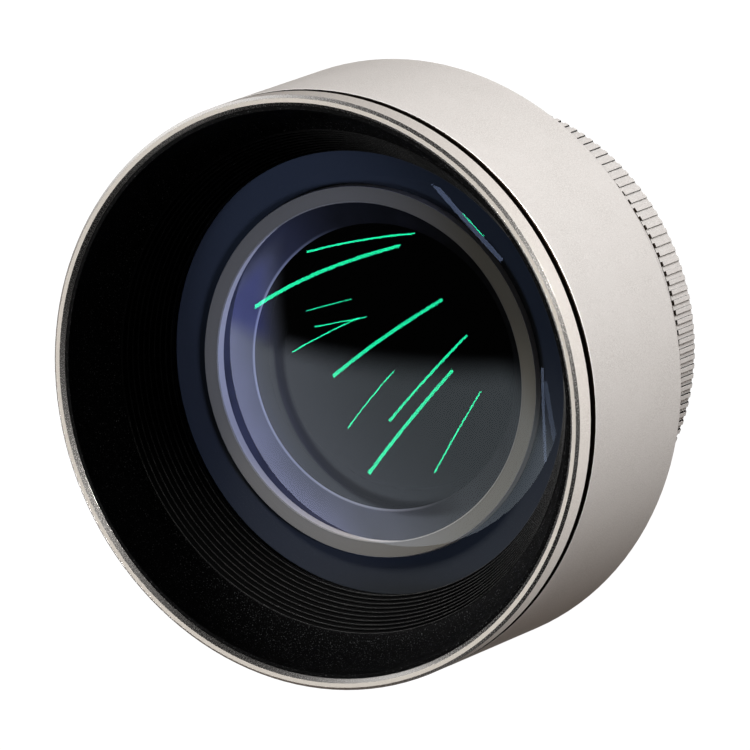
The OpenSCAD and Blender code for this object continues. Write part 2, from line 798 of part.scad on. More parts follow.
// The spacer between the rear glasses
module rear_spacer() {
    color(black) turned([
        [rear_clear_r, spacer_z],
        [rear_r, spacer_z],
        [rear_r, rear_group_z],
        [rear_clear_r, rear_group_z]
    ]);
}

// The last glass: hollow on both sides
module rear_group_back() {
    dip = sag(last_surface_r, rear_clear_r);
    color(glass) difference() {
        translate([0, 0, last_z]) cylinder(r = rear_r, h = last_edge_t);
        translate([0, 0, last_z + dip - last_surface_r]) sphere(r = last_surface_r);
        translate([0, 0, spacer_z - dip + last_surface_r]) sphere(r = last_surface_r);
    }
}

// The rear retaining ring, with two slots for a spanner
module rear_retainer() {
    color(black) difference() {
        turned([
            [rear_r - rear_ring_w, rear_recess],
            [rear_r, rear_recess],
            [rear_r, last_z],
            [rear_r - rear_ring_w, last_z]
        ]);
        translate([-rear_r - over, -slot_w / 2, rear_recess - over])
            cube([rear_d + over * 2, slot_w, slot_h + over]);
    }
}

front_ring();
front_cell();
ribbed_baffle();
front_seal();
front_element();
main_barrel();
barrel_seal();
rear_barrel();
grip_ring();
set_screws();
mount_flange();
bayonet_ring();
mount_screws();
mount_gasket();
index_dot();
pair_cell();
pair_retainer();
pair_front();
pair_rear();
inner_tube();
front_stop();
rear_stop();
rear_cell();
rear_group_front();
rear_spacer();
rear_group_back();
rear_retainer();
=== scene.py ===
import math

import bpy
import numpy as np
from mathutils import Matrix, Quaternion, Vector


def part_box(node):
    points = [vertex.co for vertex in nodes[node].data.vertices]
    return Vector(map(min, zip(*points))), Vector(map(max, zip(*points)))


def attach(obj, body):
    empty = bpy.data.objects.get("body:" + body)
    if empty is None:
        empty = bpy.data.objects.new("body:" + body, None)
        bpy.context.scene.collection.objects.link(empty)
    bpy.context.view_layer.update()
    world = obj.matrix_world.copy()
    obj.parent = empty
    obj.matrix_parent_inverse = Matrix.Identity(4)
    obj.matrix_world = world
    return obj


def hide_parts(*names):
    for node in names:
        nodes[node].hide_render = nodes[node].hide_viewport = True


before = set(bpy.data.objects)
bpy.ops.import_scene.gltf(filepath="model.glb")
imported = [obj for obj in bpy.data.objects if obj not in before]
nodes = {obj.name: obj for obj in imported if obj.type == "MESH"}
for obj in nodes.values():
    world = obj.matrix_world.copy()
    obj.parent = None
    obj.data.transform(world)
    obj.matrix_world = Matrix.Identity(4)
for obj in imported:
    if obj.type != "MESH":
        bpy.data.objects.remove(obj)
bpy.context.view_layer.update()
print("frame loaded with", len(nodes), "nodes")

millimetre = 0.001

# Camera, rolled so that the optical axis runs to the left of the picture
cameraView = {
    "place": (0.0, -0.701122, 1.154961),
    "aim": (-0.0005, 0.0, 0.04174),
    "roll": -111.11,          # degrees about the line of sight
    "lens": 576,              # mm
    "sensor": 36,             # mm
    "nearest": 0.01,          # m, what lies nearer than this is cut off
    "farthest": 20,           # m
}


def addCamera(view):
    data = bpy.data.cameras.new("camera")
    data.sensor_width = view["sensor"]
    data.lens = view["lens"]
    data.clip_start = view["nearest"]
    data.clip_end = view["farthest"]
    camera = bpy.data.objects.new("camera", data)
    place = Vector(view["place"])
    sight = Vector(view["aim"]) - place
    turn = sight.to_track_quat("-Z", "Y") @ Quaternion((0, 0, 1), math.radians(view["roll"]))
    camera.location = place
    camera.rotation_mode = "QUATERNION"
    camera.rotation_quaternion = turn
    bpy.context.scene.collection.objects.link(camera)
    bpy.context.scene.camera = camera


addCamera(cameraView)
print("camera placed")

# Node helpers


def putNode(tree, kind, **values):
    # Adds a node and sets its options and unlinked inputs by name.
    node = tree.nodes.new(kind)
    for key, value in values.items():
        label = key.replace("_", " ")
        if hasattr(node, key):
            setattr(node, key, value)
        else:
            node.inputs[label].default_value = value
    return node


def join(tree, source, target):
    tree.links.new(source, target)


def newGroup(name, takes, gives):
    tree = bpy.data.node_groups.new(name, "ShaderNodeTree")
    for label, kind, value in takes:
        socket = tree.interface.new_socket(name=label, in_out="INPUT", socket_type=kind)
        if value is not None:
            socket.default_value = value
    for label, kind in gives:
        tree.interface.new_socket(name=label, in_out="OUTPUT", socket_type=kind)
    return tree, tree.nodes.new("NodeGroupInput"), tree.nodes.new("NodeGroupOutput")


def putGroup(tree, group, **values):
    node = tree.nodes.new("ShaderNodeGroup")
    node.node_tree = group
    for key, value in values.items():
        node.inputs[key].default_value = value
    return node


def newMaterial(name, **values):
    # A material with one Principled shader; values are its constant inputs.
    material = bpy.data.materials.new(name)
    material.use_nodes = True
    tree = material.node_tree
    shader = tree.nodes["Principled BSDF"]
    for key, value in values.items():
        shader.inputs[key.replace("_", " ")].default_value = value
    place = tree.nodes.new("ShaderNodeTexCoord").outputs["Object"]
    return material, tree, shader, place


def scalar(tree, kind, first, second=0.5, third=None):
    # A Math node; each argument is a socket or a number.
    node = tree.nodes.new("ShaderNodeMath")
    node.operation = kind
    for slot, value in enumerate((first, second, third)):
        if value is None:
            continue
        if isinstance(value, (int, float)):
            node.inputs[slot].default_value = value
        else:
            tree.links.new(value, node.inputs[slot])
    return node.outputs[0]


def blendColours(tree, mask, first, second):
    node = tree.nodes.new("ShaderNodeMix")
    node.data_type = "RGBA"
    tree.links.new(mask, node.inputs["Factor"])
    for label, value in (("A", first), ("B", second)):
        socket = [s for s in node.inputs if s.name == label and s.type == "RGBA"][0]
        if isinstance(value, tuple):
            socket.default_value = value
        else:
            tree.links.new(value, socket)
    return [s for s in node.outputs if s.type == "RGBA"][0]


def band(tree, value, low, high):
    # 0 below low, 1 above high, smooth between.
    node = tree.nodes.new("ShaderNodeMapRange")
    node.interpolation_type = "SMOOTHSTEP"
    node.inputs["From Min"].default_value = low
    node.inputs["From Max"].default_value = high
    tree.links.new(value, node.inputs["Value"])
    return node.outputs["Result"]


def fromAxis(tree, place):
    # The vector across the optical axis, and its length
    flat = tree.nodes.new("ShaderNodeVectorMath")
    flat.operation = "MULTIPLY"
    flat.inputs[1].default_value = (1, 1, 0)
    tree.links.new(place, flat.inputs[0])
    length = tree.nodes.new("ShaderNodeVectorMath")
    length.operation = "LENGTH"
    tree.links.new(flat.outputs["Vector"], length.inputs[0])
    return flat.outputs["Vector"], length.outputs["Value"]


def parts(tree, vector):
    node = tree.nodes.new("ShaderNodeSeparateXYZ")
    tree.links.new(vector, node.inputs["Vector"])
    return node.outputs


def trueNormal(tree):
    return tree.nodes.new("ShaderNodeNewGeometry").outputs["True Normal"]


def dotProduct(tree, first, second):
    node = tree.nodes.new("ShaderNodeVectorMath")
    node.operation = "DOT_PRODUCT"
    tree.links.new(first, node.inputs[0])
    tree.links.new(second, node.inputs[1])
    return node.outputs["Value"]


def product(tree, first, second):
    return scalar(tree, "MULTIPLY", first, second)


def opposite(tree, value):
    # 1 less the value
    return scalar(tree, "SUBTRACT", 1.0, value)


def between(tree, mask, first, second):
    # First where the mask is 0, and second where it is 1
    return scalar(tree, "MULTIPLY_ADD", mask, second - first, first)


# Shared effects, each a group that puts out masks and heights only


grainNoise = {
    "detail": 2.0,
    "roughness": 0.6,
    "cloudScale": 160.0,      # per metre
    "cloudDetail": 3.0,
    "cloudRoughness": 0.55,
}


def makeBlastGroup(values):
    # Bead-blasted grain: fine noise for bumps and speckle, and a coarse one for broad clouds.
    tree, takes, gives = newGroup(
        "blastedGrain",
        [("Vector", "NodeSocketVector", None), ("Scale", "NodeSocketFloat", 9000.0),
         ("Contrast", "NodeSocketFloat", 1.0)],
        [("Height", "NodeSocketFloat"), ("Grain", "NodeSocketFloat"), ("Cloud", "NodeSocketFloat")])
    fine = putNode(tree, "ShaderNodeTexNoise", Detail=values["detail"],
                   Roughness=values["roughness"])
    join(tree, takes.outputs["Vector"], fine.inputs["Vector"])
    join(tree, takes.outputs["Scale"], fine.inputs["Scale"])
    coarse = putNode(tree, "ShaderNodeTexNoise", Detail=values["cloudDetail"],
                     Roughness=values["cloudRoughness"], Scale=values["cloudScale"])
    join(tree, takes.outputs["Vector"], coarse.inputs["Vector"])
    centred = scalar(tree, "SUBTRACT", fine.outputs["Fac"], 0.5)
    grain = scalar(tree, "MULTIPLY_ADD", centred, takes.outputs["Contrast"], 0.5)
    join(tree, fine.outputs["Fac"], gives.inputs["Height"])
    join(tree, grain, gives.inputs["Grain"])
    join(tree, coarse.outputs["Fac"], gives.inputs["Cloud"])
    return tree


def makeEdgeHighlightGroup():
    # A mask for painted edge highlights, by where a rounded normal leaves the true one: 0 on open
    # faces,
    # 1 on a sharp corner.
    tree, takes, gives = newGroup(
        "edgeHighlightMask",
        [("Normal", "NodeSocketVector", None), ("Reach", "NodeSocketFloat", 4.0)],
        [("Edge", "NodeSocketFloat")])
    away = opposite(tree, dotProduct(tree, trueNormal(tree), takes.outputs["Normal"]))
    strong = product(tree, away, takes.outputs["Reach"])
    clamp = tree.nodes.new("ShaderNodeClamp")
    join(tree, strong, clamp.inputs["Value"])
    join(tree, clamp.outputs["Result"], gives.inputs["Edge"])
    return tree


markNoise = {
    "scale": 2600.0,          # per metre
    "detail": 3.0,
    "roughness": 0.7,
}


def makeTurnedGroup(values):
    # Lathe marks: rings whose spacing follows the distance from the optical axis.
    tree, takes, gives = newGroup(
        "latheMarks",
        [("Vector", "NodeSocketVector", None), ("Scale", "NodeSocketFloat", values["scale"])],
        [("Height", "NodeSocketFloat")])
    pair = tree.nodes.new("ShaderNodeCombineXYZ")
    join(tree, fromAxis(tree, takes.outputs["Vector"])[1], pair.inputs["X"])
    join(tree, parts(tree, takes.outputs["Vector"])["Z"], pair.inputs["Z"])
    noise = putNode(tree, "ShaderNodeTexNoise", Detail=values["detail"],
                    Roughness=values["roughness"])
    join(tree, pair.outputs["Vector"], noise.inputs["Vector"])
    join(tree, takes.outputs["Scale"], noise.inputs["Scale"])
    join(tree, noise.outputs["Fac"], gives.inputs["Height"])
    return tree


blastGroup = makeBlastGroup(grainNoise)
edgeHighlightGroup = makeEdgeHighlightGroup()
turnedGroup = makeTurnedGroup(markNoise)
print("shader groups built")


def roundedNormal(tree, radius, samples=4):
    # A Bevel node gives each hard edge a tiny radius, in millimetres.
    node = tree.nodes.new("ShaderNodeBevel")
    node.samples = samples
    node.inputs["Radius"].default_value = radius * millimetre
    return node.outputs["Normal"]


def spreadAround(tree, mask, finish):
    # A roughness that varies with the mask about the finish's own
    middle, half = finish["roughness"], finish["roughSpread"] / 2
    return between(tree, mask, middle - half, middle + half)


def bumped(tree, shader, height, strength, depth, normal=None):
    # Feeds a height to the shader's Normal; depth is in millimetres.
    node = tree.nodes.new("ShaderNodeBump")
    node.inputs["Strength"].default_value = strength
    node.inputs["Distance"].default_value = depth * millimetre
    tree.links.new(height, node.inputs["Height"])
    if normal is not None:
        tree.links.new(normal, node.inputs["Normal"])
    tree.links.new(node.outputs["Normal"], shader.inputs["Normal"])


# Bead-blasted champagne aluminium, with bright-cut bevels, painted highlights on its edges, and
# painted shade on the seats in grooves and on the flanks of the teeth

titaniumFinish = {
    "colour": (0.83, 0.80, 0.775, 1),
    "lightGrain": (0.96, 0.94, 0.915, 1),
    "darkGrain": (0.56, 0.525, 0.495, 1),
    "paintedShade": (0.010, 0.007, 0.005, 1),      # painted shade on seats in deep grooves
    "wall": (0.012, 0.009, 0.007, 1),       # painted shade on the flanks of the teeth
    "metallic": 0.5,
    "roughness": 0.44,
    "roughSpread": 0.12,
    "bevelRoughness": 0.24,
    "bevelFrom": (0.30, 0.45),              # how far a bevel's normal rises along the axis
    "bevelTo": (0.85, 0.95),
    "grainSize": 0.11,        # mm
    "grainDepth": 0.010,      # mm
    "grainContrast": 2.6,
    "bumpStrength": 0.55,
    "edgeRadius": 0.06,       # mm
    "edgeReach": 3.0,
    "seatDepth": 0.11,        # mm below its level down to which a seat still counts as one and takes the painted shade
    "tipBand": 0.03,          # mm at the tips of the teeth that stays bright, free of the painted shade
    "flankTurn": 0.7,         # a flank, which takes the painted shade, has a normal that turns outwards and upwards less than this
}


def seatShadeMask(tree, place, level):
    # The mask of the painted shade on seats: 1 on whatever lies at the level, in metres, or in
    # front of it
    return scalar(tree, "GREATER_THAN", parts(tree, place)["Z"], level)


def flankShadeMask(tree, place, foot, tip, limit):
    # The mask of the painted shade on the flanks of the teeth: 1 between two radii, on faces that
    # face neither outwards nor along the axis
    across, radius = fromAxis(tree, place)
    normal = trueNormal(tree)
    facing = scalar(tree, "DIVIDE", dotProduct(tree, across, normal), radius)
    outwards = scalar(tree, "ABSOLUTE", facing)
    upwards = scalar(tree, "ABSOLUTE", parts(tree, normal)["Z"])
    flank = scalar(tree, "LESS_THAN", scalar(tree, "MAXIMUM", outwards, upwards), limit)
    aboveFoot = scalar(tree, "GREATER_THAN", radius, foot)
    belowTip = scalar(tree, "LESS_THAN", radius, tip)
    return product(tree, flank, product(tree, aboveFoot, belowTip))


def makeTitanium(name, finish, brightBevels, shadedFront=None, teeth=None):
    # The face at the level shadedFront, and what lies in front of it, takes a painted shade as a
    # dark seat;
    # teeth holds the radii between which the flanks take a painted shade. Both are in metres.
    material, tree, shader, place = newMaterial(name)
    grain = putGroup(tree, blastGroup, Scale=1 / (finish["grainSize"] * millimetre),
                     Contrast=finish["grainContrast"])
    join(tree, place, grain.inputs["Vector"])
    rounded = roundedNormal(tree, finish["edgeRadius"])
    edge = putGroup(tree, edgeHighlightGroup, Reach=finish["edgeReach"])
    join(tree, rounded, edge.inputs["Normal"])
    colour = blendColours(tree, grain.outputs["Grain"], finish["darkGrain"], finish["lightGrain"])
    colour = blendColours(tree, grain.outputs["Cloud"], colour, finish["colour"])
    # Painted highlight: the edges take the light grain colour.
    colour = blendColours(tree, edge.outputs["Edge"], colour, finish["lightGrain"])
    rough = spreadAround(tree, grain.outputs["Grain"], finish)
    height = grain.outputs["Height"]
    shader.inputs["Metallic"].default_value = finish["metallic"]
    # Painted shade: the seats and the flanks of the teeth turn near black and fully metallic.
    if shadedFront is not None:
        seat = seatShadeMask(tree, place, shadedFront - finish["seatDepth"] * millimetre)
        dark = seat
        if teeth is not None:
            flankShade = flankShadeMask(tree, place, *teeth, finish["flankTurn"])
            colour = blendColours(tree, flankShade, colour, finish["wall"])
            dark = scalar(tree, "MAXIMUM", seat, flankShade)
        colour = blendColours(tree, seat, colour, finish["paintedShade"])
        join(tree, between(tree, dark, finish["metallic"], 1.0), shader.inputs["Metallic"])
    if brightBevels:
        rise = scalar(tree, "ABSOLUTE", parts(tree, trueNormal(tree))["Z"])
        above = band(tree, rise, *finish["bevelFrom"])
        cut = product(tree, above, opposite(tree, band(tree, rise, *finish["bevelTo"])))
        drop = product(tree, cut, finish["roughness"] - finish["bevelRoughness"])
        rough = scalar(tree, "SUBTRACT", rough, drop)
        height = product(tree, height, opposite(tree, cut))
        join(tree, between(tree, cut, finish["metallic"], 1.0), shader.inputs["Metallic"])
    join(tree, colour, shader.inputs["Base Color"])
    join(tree, rough, shader.inputs["Roughness"])
    bumped(tree, shader, height, finish["bumpStrength"], finish["grainDepth"], rounded)
    return material


neckTitanium = makeTitanium("neckTitanium", titaniumFinish, False)
barrelTitanium = makeTitanium("barrelTitanium", titaniumFinish, False,
                              shadedFront=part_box("main_barrel")[1].z)
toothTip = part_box("grip_ring")[1].x - titaniumFinish["tipBand"] * millimetre
gripTitanium = makeTitanium("gripTitanium", titaniumFinish, False,
                            shadedFront=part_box("grip_ring")[1].z,
                            teeth=(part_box("rear_barrel")[1].x, toothTip))
rimTitanium = makeTitanium("rimTitanium", titaniumFinish, True)

# Black anodised aluminium: the mouth and the inner cells

anodising = {
    "ior": 1.5,
    "specular": 0.06,
    "grainContrast": 3.0,
    "speckle": (0.75, 1.3),   # grain above the first value begins to show light
    "bumpStrength": 0.6,
    "edgeRadius": 0.12,       # mm
}

blackFinish = {
    "colour": (0.0020, 0.0020, 0.0021, 1),
    "lightGrain": (0.15, 0.15, 0.153, 1),
    "roughness": 0.60,
    "roughSpread": 0.10,
    "grainSize": 0.16,        # mm
    "grainDepth": 0.012,      # mm
}

innerFinish = {
    "colour": (0.0015, 0.0015, 0.0017, 1),
    "lightGrain": (0.003, 0.003, 0.0033, 1),
    "roughness": 0.75,
    "roughSpread": 0.10,
    "grainSize": 0.20,        # mm
    "grainDepth": 0.008,      # mm
}

cellFinish = {
    "colour": (0.037, 0.041, 0.048, 1),
    "lightGrain": (0.052, 0.057, 0.066, 1),
    "roughness": 0.60,
    "roughSpread": 0.10,
    "grainSize": 0.12,        # mm
    "grainDepth": 0.0,        # mm, none: bumps here would break up what shows through the glass
}


def makeBlack(name, finish, coat):
    material, tree, shader, place = newMaterial(name, Metallic=0.0, IOR=coat["ior"],
                                                Specular_IOR_Level=coat["specular"])
    grain = putGroup(tree, blastGroup, Scale=1 / (finish["grainSize"] * millimetre),
                     Contrast=coat["grainContrast"])
    join(tree, place, grain.inputs["Vector"])
    lit = band(tree, grain.outputs["Grain"], *coat["speckle"])
    colour = blendColours(tree, lit, finish["colour"], finish["lightGrain"])
    join(tree, colour, shader.inputs["Base Color"])
    join(tree, spreadAround(tree, grain.outputs["Grain"], finish), shader.inputs["Roughness"])
    rounded = roundedNormal(tree, coat["edgeRadius"])
    bumped(tree, shader, grain.outputs["Height"], coat["bumpStrength"], finish["grainDepth"],
           rounded)
    return material


mouthBlack = makeBlack("mouthBlack", blackFinish, anodising)
innerBlack = makeBlack("innerBlack", innerFinish, anodising)
cellNavy = makeBlack("cellNavy", cellFinish, anodising)

# The light trap: deep black valleys, and crests with a painted highlight along their edges, broken
# by the grain

trapFinish = {
    "valley": (0.0010, 0.0010, 0.0011, 1),
    "crest": (0.24, 0.24, 0.24, 1),
    "roughness": 0.55,
    "crestRoughness": 0.34,
    "ior": 1.45,
    "specular": 0.08,
    "edgeRadius": 0.05,       # mm
    "edgeReach": 5.0,
    "edgeSamples": 8,
    "grainSize": 0.125,       # mm
    "grainDepth": 0.010,      # mm
    "grainContrast": 2.0,
    "bumpStrength": 0.4,
}


def makeTrap(finish):
    material, tree, shader, place = newMaterial("trapBlack", Metallic=0.0, IOR=finish["ior"],
                                                Specular_IOR_Level=finish["specular"])
    rounded = roundedNormal(tree, finish["edgeRadius"], samples=finish["edgeSamples"])
    edge = putGroup(tree, edgeHighlightGroup, Reach=finish["edgeReach"])
    join(tree, rounded, edge.inputs["Normal"])
    grain = putGroup(tree, blastGroup, Scale=1 / (finish["grainSize"] * millimetre),
                     Contrast=finish["grainContrast"])
    join(tree, place, grain.inputs["Vector"])
    # Painted highlight: the crest edges take a light colour where the grain is light.
    crestGlint = product(tree, edge.outputs["Edge"], grain.outputs["Grain"])
    colour = blendColours(tree, crestGlint, finish["valley"], finish["crest"])
    join(tree, colour, shader.inputs["Base Color"])
    rough = between(tree, edge.outputs["Edge"], finish["roughness"], finish["crestRoughness"])
    join(tree, rough, shader.inputs["Roughness"])
    bumped(tree, shader, grain.outputs["Height"], finish["bumpStrength"], finish["grainDepth"],
           rounded)
    return material


trapBlack = makeTrap(trapFinish)

# Coated glass. Each coating tints and weakens what its surface reflects. Shine is the share of
# the surface that mirrors at all: the inner surfaces are coated so well that they only refract.

coatings = {
    "frontCoat": {"tint": (0.96, 1.0, 0.98, 1), "level": 0.50, "ior": 1.52, "shine": 1.0,
                  "body": (0.98, 0.99, 0.99, 1)},
    "innerCoat": {"tint": (0.60, 0.75, 1.0, 1), "level": 0.50, "ior": 1.52, "shine": 0.0,
                  "body": (0.98, 0.99, 0.99, 1)},
    "pairCoat": {"tint": (0.60, 0.70, 1.0, 1), "level": 0.50, "ior": 1.62, "shine": 0.0,
                 "body": (0.98, 0.98, 0.99, 1)},
    "rearCoat": {"tint": (0.55, 0.50, 0.95, 1), "level": 0.25, "ior": 1.60, "shine": 1.0,
                 "body": (0.97, 0.98, 0.99, 1)},
}
filmNoise = {
    "scale": 70.0,            # per metre
    "detail": 2.0,
    "faintest": (0.97, 0.98, 1.0),  # share of the body colour that the film leaves at most
}


def makeGlass(name, finish, noise):
    # Light that comes straight from a lamp, or bounces off the inside, passes as if the glass
    # were not there.
    material, tree, shader, place = newMaterial(
        name, Metallic=0.0, Transmission_Weight=1.0, IOR=finish["ior"],
        Specular_Tint=finish["tint"], Specular_IOR_Level=finish["level"], Roughness=0.0)
    film = putNode(tree, "ShaderNodeTexNoise", Scale=noise["scale"], Detail=noise["detail"])
    join(tree, place, film.inputs["Vector"])
    faint = tuple(share * colour for share, colour in zip(noise["faintest"], finish["body"])) + (1,)
    body = blendColours(tree, film.outputs["Fac"], faint, finish["body"])
    join(tree, body, shader.inputs["Base Color"])
    surface = shader.outputs["BSDF"]
    if finish["shine"] < 1:
        bend = putNode(tree, "ShaderNodeBsdfRefraction", Roughness=0.0, IOR=finish["ior"])
        join(tree, body, bend.inputs["Color"])
        coated = putNode(tree, "ShaderNodeMixShader", Fac=finish["shine"])
        join(tree, bend.outputs["BSDF"], coated.inputs[1])
        join(tree, surface, coated.inputs[2])
        surface = coated.outputs["Shader"]
    seeThrough = tree.nodes.new("ShaderNodeBsdfTransparent")
    path = tree.nodes.new("ShaderNodeLightPath")
    mix = tree.nodes.new("ShaderNodeMixShader")
    soft = scalar(tree, "SUBTRACT", path.outputs["Is Glossy Ray"], path.outputs["Is Singular Ray"])
    plain = scalar(tree, "MAXIMUM", path.outputs["Is Shadow Ray"], path.outputs["Is Diffuse Ray"])
    join(tree, scalar(tree, "MAXIMUM", plain, soft), mix.inputs["Fac"])
    join(tree, surface, mix.inputs[1])
    join(tree, seeThrough.outputs["BSDF"], mix.inputs[2])
    join(tree, mix.outputs["Shader"], tree.nodes["Material Output"].inputs["Surface"])
    return material


coats = {name: makeGlass(name, values, filmNoise) for name, values in coatings.items()}

# Small metal and soft pieces

# Each finish's edge colour is a painted highlight on its edges.
smallFinish = {
    "beige": {"colour": (0.21, 0.195, 0.165, 1), "dark": (0.155, 0.143, 0.12, 1),
              "edge": (0.60, 0.60, 0.66, 1), "bore": (0.60, 0.56, 0.56, 1),
              "metallic": 0.0, "roughness": 0.55, "roughSpread": 0.20},
    "steel": {"colour": (0.62, 0.62, 0.62, 1), "dark": (0.42, 0.42, 0.43, 1),
              "edge": (0.80, 0.80, 0.80, 1),
              "metallic": 1.0, "roughness": 0.28, "roughSpread": 0.20},
    "screw": {"colour": (0.30, 0.30, 0.31, 1), "dark": (0.18, 0.18, 0.19, 1),
              "edge": (0.45, 0.45, 0.46, 1),
              "metallic": 1.0, "roughness": 0.34, "roughSpread": 0.20},
}
turning = {
    "edgeRadius": 0.08,       # mm
    "edgeReach": 5.0,
    "bumpStrength": 0.35,
    "markDepth": 0.010,       # mm
    "upright": 0.3,           # a bore's normal rises along the axis less than this
}


def makeTurned(name, finish, work):
    # The bore, where the finish has one, is plain and has a colour of its own.
    material, tree, shader, place = newMaterial(name, Metallic=finish["metallic"])
    marks = putGroup(tree, turnedGroup)
    join(tree, place, marks.inputs["Vector"])
    rounded = roundedNormal(tree, work["edgeRadius"])
    edge = putGroup(tree, edgeHighlightGroup, Reach=work["edgeReach"])
    join(tree, rounded, edge.inputs["Normal"])
    height = marks.outputs["Height"]
    colour = blendColours(tree, height, finish["dark"], finish["colour"])
    # Painted highlight: the edges take the edge colour.
    colour = blendColours(tree, edge.outputs["Edge"], colour, finish["edge"])
    if "bore" in finish:
        rise = scalar(tree, "ABSOLUTE", parts(tree, trueNormal(tree))["Z"])
        upright = scalar(tree, "LESS_THAN", rise, work["upright"])
        colour = blendColours(tree, upright, colour, finish["bore"])
        height = product(tree, height, opposite(tree, upright))
    join(tree, colour, shader.inputs["Base Color"])
    join(tree, spreadAround(tree, marks.outputs["Height"], finish), shader.inputs["Roughness"])
    bumped(tree, shader, height, work["bumpStrength"], work["markDepth"], rounded)
    return material


ringBeige = makeTurned("ringBeige", smallFinish["beige"], turning)
mountSteel = makeTurned("mountSteel", smallFinish["steel"], turning)
screwSteel = makeTurned("screwSteel", smallFinish["screw"], turning)

softFinish = {
    "seal": {"colour": (0.010, 0.010, 0.010, 1), "light": (0.022, 0.022, 0.022, 1),
             "roughness": 0.605, "roughSpread": 0.15, "grainSize": 0.2, "grainDepth": 0.010,
             "grainContrast": 1.5, "bumpStrength": 0.4},
    "dot": {"colour": (0.62, 0.16, 0.03, 1), "light": (0.70, 0.20, 0.05, 1),
            "roughness": 0.305, "roughSpread": 0.15, "grainSize": 0.3, "grainDepth": 0.010,
            "grainContrast": 1.5, "bumpStrength": 0.4},
}


def makeSoft(name, finish):
    # Rubber or enamel: a plain colour broken by fine grain.
    material, tree, shader, place = newMaterial(name, Metallic=0.0)
    grain = putGroup(tree, blastGroup, Scale=1 / (finish["grainSize"] * millimetre),
                     Contrast=finish["grainContrast"])
    join(tree, place, grain.inputs["Vector"])
    colour = blendColours(tree, grain.outputs["Grain"], finish["colour"], finish["light"])
    join(tree, colour, shader.inputs["Base Color"])
    join(tree, spreadAround(tree, grain.outputs["Cloud"], finish), shader.inputs["Roughness"])
    bumped(tree, shader, grain.outputs["Height"], finish["bumpStrength"], finish["grainDepth"])
    return material


sealRubber = makeSoft("sealRubber", softFinish["seal"])
dotEnamel = makeSoft("dotEnamel", softFinish["dot"])
print("materials built")

finishes = {
    "front_ring": rimTitanium,
    "front_cell": mouthBlack,
    "ribbed_baffle": trapBlack,
    "front_seal": sealRubber,
    "front_element": coats["frontCoat"],
    "main_barrel": barrelTitanium,
    "barrel_seal": sealRubber,
    "rear_barrel": neckTitanium,
    "grip_ring": gripTitanium,
    "set_screws": screwSteel,
    "mount_flange": neckTitanium,
    "bayonet_ring": mountSteel,
    "mount_screws": screwSteel,
    "mount_gasket": sealRubber,
    "index_dot": dotEnamel,
    "pair_cell": cellNavy,
    "pair_retainer": ringBeige,
    "pair_front": coats["pairCoat"],
    "pair_rear": coats["pairCoat"],
    "inner_tube": innerBlack,
    "front_stop": innerBlack,
    "rear_stop": innerBlack,
    "rear_cell": mouthBlack,
    "rear_group_front": coats["rearCoat"],
    "rear_spacer": innerBlack,
    "rear_group_back": coats["rearCoat"],
    "rear_retainer": mouthBlack,
}
for name, material in finishes.items():
    for slot in nodes[name].material_slots:
        slot.material = material
print("finishes given to", len(finishes), "nodes")

# The glasses, turned again as smooth surfaces so that they refract without facets

lensShape = {
    "turns": 320,             # steps round the axis
    "steps": 72,              # steps from the axis to the edge
    "bevel": 0.06,            # mm, on each edge
    "sharpAngle": 20,         # degrees, past which an edge stays sharp
}


def domeArc(radius, apex, reach, steps, side=1):
    # A section of a sphere from the axis out to reach: z = apex - side * (R - sqrt(R*R - r*r)).
    # A negative side bulges downwards.
    r = np.linspace(0, reach, steps + 1)
    z = apex - side * (radius - np.sqrt(radius * radius - r * r))
    return np.stack([r, z], axis=1)


def revolve(section, turns):
    # The section's point (r, z) at angle a stands at (r cos a, r sin a, z).
    angle = np.arange(turns) * 2 * math.pi / turns
    return np.stack([
        section[:, None, 0] * np.cos(angle),
        section[:, None, 0] * np.sin(angle),
        np.repeat(section[:, 1:2], turns, axis=1)], axis=2).reshape(-1, 3)


def ringQuads(upper, lower, turns):
    # Faces between rings of vertices, given the first vertex of each upper and lower ring
    this = np.arange(turns)
    after = (this + 1) % turns
    corners = [upper + this, lower + this, lower + after, upper + after]
    return np.stack(corners, axis=2).reshape(-1, 4).tolist()


def turnedPiece(name, points, faces, sharpAngle, skins):
    # Points are in millimetres, and edges stay sharp past the angle, in degrees.
    mesh = bpy.data.meshes.new(name)
    mesh.from_pydata((points * millimetre).tolist(), [], faces)
    mesh.polygons.foreach_set("use_smooth", np.ones(len(mesh.polygons), bool))
    mesh.set_sharp_from_angle(angle=math.radians(sharpAngle))
    for skin in skins:
        mesh.materials.append(skin)
    piece = bpy.data.objects.new(name, mesh)
    bpy.context.scene.collection.objects.link(piece)
    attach(piece, "root")
    return piece


def turnedGlass(name, profile, shape, skins):
    # Revolves a half section whose two ends lie on the axis: each end is one vertex.
    turns = shape["turns"]
    rings = profile[1:-1]
    points = np.concatenate([[[0, 0, profile[0, 1]]], revolve(rings, turns),
                             [[0, 0, profile[-1, 1]]]])
    row = 1 + np.arange(len(rings) - 1)[:, None] * turns
    this = np.arange(turns)
    after = (this + 1) % turns
    last = len(points) - 1
    foot = 1 + (len(rings) - 1) * turns
    top = np.stack([np.zeros(turns, int), 1 + this, 1 + after], axis=1)
    bottom = np.stack([np.full(turns, last), foot + after, foot + this], axis=1)
    faces = top.tolist() + ringQuads(row, row + turns, turns) + bottom.tolist()
    return turnedPiece(name, points, faces, shape["sharpAngle"], skins)


def edgeProfile(edgeR, domeRadius, apex, seat, bevel):
    # The cylindrical edge below a dome: a bevel at the top, the wall, and a bevel at the seat
    top = apex - domeRadius + math.sqrt(domeRadius ** 2 - edgeR ** 2) - bevel
    return np.array([[edgeR, top], [edgeR, seat + bevel], [edgeR - bevel, seat]])


